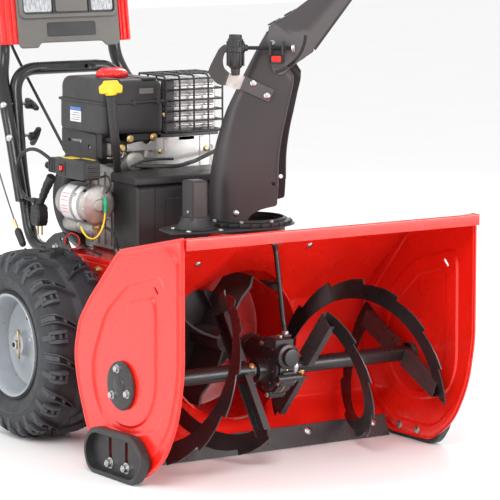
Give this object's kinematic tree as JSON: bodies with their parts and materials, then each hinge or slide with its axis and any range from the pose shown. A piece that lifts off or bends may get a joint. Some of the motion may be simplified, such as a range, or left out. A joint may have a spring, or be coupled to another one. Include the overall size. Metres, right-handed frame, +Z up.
{
  "type": "snow blower",
  "caption": "Walk-behind two-stage snow blower with auger housing, turning chute, petrol engine, drive wheels and handles.",
  "frame": {"origin": "centre of the machine's box on the ground", "axes": "+Z up, -Y towards the auger mouth, +Y towards the operator, +X the operator's left"},
  "size_m": [0.772, 1.4366, 1.0852],
  "materials": {
    "red_paint": "gloss powder coat",
    "black_paint": "satin powder coat",
    "rim_paint": "satin",
    "black_plastic": "fine grain",
    "grey_plastic": "fine grain",
    "red_plastic": "gloss",
    "yellow_plastic": "gloss",
    "steel": "zinc plated",
    "aluminium": "cast",
    "tyre": "matt",
    "rubber": "satin"
  },
  "bodies": {
    "machine": {"auger_housing": "red_paint", "side_plate_right": "red_paint", "side_plate_left": "red_paint", "impeller_drum": "red_paint", "scraper_bar": "black_paint", "skid_shoe_right": "black_plastic", "skid_shoe_left": "black_plastic", "auger_bearing_right": "black_paint", "auger_bearing_left": "black_paint", "auger_gearbox": "black_paint", "gearbox_brace": "black_paint", "auger_belt": "rubber", "chute_base": "black_plastic", "chute_motor": "black_plastic", "tractor_frame": "red_paint", "belt_cover": "black_plastic", "engine_block": "aluminium", "blower_housing": "black_plastic", "fuel_tank": "black_plastic", "dipstick_tube": "black_plastic", "muffler": "aluminium", "muffler_guard": "black_paint", "carburetor_cover": "black_paint", "starter_motor": "aluminium", "starter_switch_box": "black_plastic", "starter_cord": "rubber", "starter_plug": "rubber", "handle_lower_bar": "black_paint", "handle_upper_bar": "black_paint", "console_panel": "grey_plastic", "console_cheek_right": "red_plastic", "console_cheek_left": "red_plastic", "clutch_cable": "rubber"},
    "augers": {"auger_shaft": "steel", "auger_flight_right": "black_paint", "auger_flight_left": "black_paint"},
    "impeller_rotor": {"impeller": "black_paint", "impeller_shaft": "steel", "impeller_pulley": "steel"},
    "crankshaft": {"engine_pulley": "steel"},
    "wheels": {"axle": "steel", "tyre_right": "tyre", "tyre_left": "tyre", "rim_right": "rim_paint", "rim_left": "rim_paint"},
    "friction_shaft": {"friction_wheel": "rubber"},
    "drive_disc": {"friction_disc": "steel"},
    "turret": {"chute": "black_paint", "chute_ring_gear": "black_plastic", "deflector_motor": "black_paint"},
    "deflector_hood": {"deflector": "black_paint"},
    "deflector_leadscrew": {"deflector_screw": "steel"},
    "tank_cap": {"fuel_cap": "red_plastic"},
    "oil_dipstick": {"dipstick": "yellow_plastic"},
    "start_button": {"starter_button": "red_plastic"},
    "recoil_grip": {"recoil_handle": "black_plastic"},
    "auger_lever": {"auger_paddle": "black_plastic"},
    "traction_lever": {"traction_paddle": "black_plastic"},
    "speed_selector": {"speed_lever": "black_plastic"},
    "joystick": {"chute_joystick": "black_plastic"}
  },
  "joints": [
    {"name": "auger_spin", "type": "hinge", "parent": "machine", "child": "augers", "pos_m": [0, -0.4813, 0.193], "axis": [1, 0, 0], "continuous": true},
    {"name": "impeller_spin", "type": "hinge", "parent": "machine", "child": "impeller_rotor", "pos_m": [0, -0.2443, 0.225], "axis": [0, 1, 0], "continuous": true},
    {"name": "crankshaft_spin", "type": "hinge", "parent": "machine", "child": "crankshaft", "pos_m": [0, -0.0843, 0.496], "axis": [0, 1, 0], "continuous": true},
    {"name": "wheel_spin", "type": "hinge", "parent": "machine", "child": "wheels", "pos_m": [0, 0.0027, 0.205], "axis": [1, 0, 0], "continuous": true},
    {"name": "friction_shaft_spin", "type": "hinge", "parent": "machine", "child": "friction_shaft", "pos_m": [0, -0.0138, 0.305], "axis": [1, 0, 0], "continuous": true},
    {"name": "drive_disc_spin", "type": "hinge", "parent": "machine", "child": "drive_disc", "pos_m": [0, -0.0703, 0.305], "axis": [0, 1, 0], "continuous": true},
    {"name": "chute_turn", "type": "hinge", "parent": "machine", "child": "turret", "pos_m": [0.06, -0.2893, 0.478], "axis": [0, 0, 1], "range_deg": [-150, 50]},
    {"name": "deflector_tilt", "type": "hinge", "parent": "turret", "child": "deflector_hood", "pos_m": [0.10903, -0.33044, 0.864], "axis": [0.6428, 0.766, 0], "range_deg": [0, 28]},
    {"name": "leadscrew_spin", "type": "hinge", "parent": "turret", "child": "deflector_leadscrew", "pos_m": [0.00086, -0.35977, 0.854], "axis": [0.766, -0.6428, 0], "range_deg": [-10, 1018]},
    {"name": "fuel_cap_turn", "type": "hinge", "parent": "machine", "child": "tank_cap", "pos_m": [-0.092, 0.0147, 0.78], "axis": [0, 0, 1], "range_deg": [0, 180]},
    {"name": "dipstick_pull", "type": "slide", "parent": "machine", "child": "oil_dipstick", "axis": [-0.0894, 0, 0.996], "range_m": [0, 0.1]},
    {"name": "start_press", "type": "slide", "parent": "machine", "child": "start_button", "axis": [1, 0, 0], "range_m": [0, 0.003], "stiffness_N_per_m": 300, "springref_m": -0.001},
    {"name": "recoil_pull", "type": "slide", "parent": "machine", "child": "recoil_grip", "axis": [0, 1, 0], "range_m": [0, 0.1], "stiffness_N_per_m": 60, "springref_m": -0.05},
    {"name": "auger_squeeze", "type": "hinge", "parent": "machine", "child": "auger_lever", "pos_m": [0.155, 0.5747, 0.994], "axis": [1, 0, 0], "range_deg": [-12, 0], "stiffness_Nm_per_rad": 1.5, "springref_deg": 14.32},
    {"name": "traction_squeeze", "type": "hinge", "parent": "machine", "child": "traction_lever", "pos_m": [-0.155, 0.5747, 0.994], "axis": [1, 0, 0], "range_deg": [-12, 0], "stiffness_Nm_per_rad": 1.5, "springref_deg": 14.32},
    {"name": "speed_shift", "type": "hinge", "parent": "machine", "child": "speed_selector", "pos_m": [0.01, 0.4677, 0.94], "axis": [1, 0, 0], "range_deg": [-25, 25]},
    {"name": "joystick_tilt", "type": "hinge", "parent": "machine", "child": "joystick", "pos_m": [-0.068, 0.4607, 0.95], "axis": [0, 1, 0], "range_deg": [-15, 15], "stiffness_Nm_per_rad": 0.5}
  ],
  "couplings": [
    {"joint": "impeller_spin", "follows": "auger_spin", "ratio": 10},
    {"joint": "friction_shaft_spin", "follows": "wheel_spin", "ratio": -1.6667},
    {"joint": "leadscrew_spin", "follows": "deflector_tilt", "ratio": 36}
  ]
}
